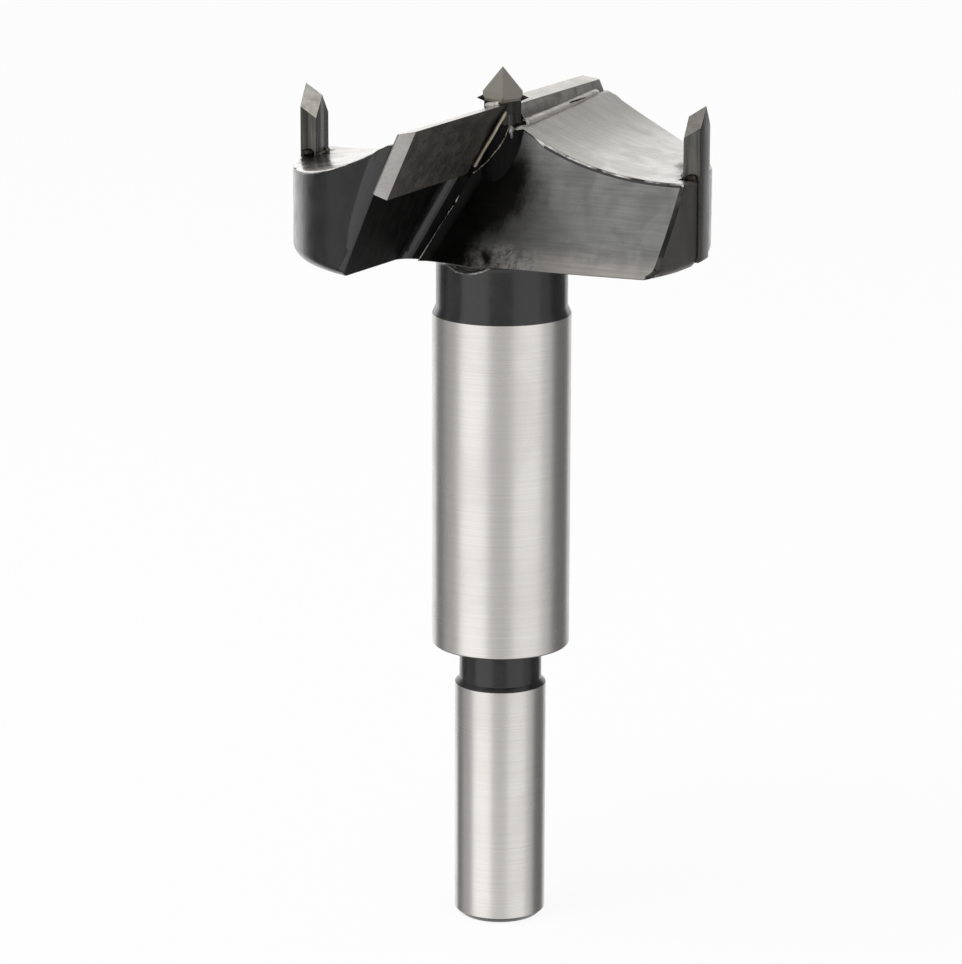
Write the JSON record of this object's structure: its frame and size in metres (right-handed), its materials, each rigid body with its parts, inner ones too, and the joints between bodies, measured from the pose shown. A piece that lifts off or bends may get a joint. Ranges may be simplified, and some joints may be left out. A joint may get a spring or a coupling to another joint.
{
  "type": "forstner bit",
  "caption": "Carbide-tipped Forstner bit: winged head with raked cutters, rim spurs and a square centre point on a ground collar and straight shank, for boring flat-bottomed holes.",
  "frame": {"origin": "centre of the flat end of the shank", "axes": "+Z along the axis of rotation towards the centre point; the cutting edges run along Y and the spurs lie near the X axis"},
  "size_m": [0.045, 0.0442, 0.0944],
  "materials": {
    "body_steel": "ground bright shank and collar, glossy black necks and head, brushed wing tops",
    "cutter_carbide": "ground tungsten carbide with bronze braze seams",
    "spur_carbide": "ground tungsten carbide",
    "point_carbide": "ground tungsten carbide"
  },
  "bodies": {
    "root": {"body": "body_steel", "cutter_front": "cutter_carbide", "cutter_rear": "cutter_carbide", "spur_left": "spur_carbide", "spur_right": "spur_carbide", "centre_point": "point_carbide"}
  },
  "joints": []
}
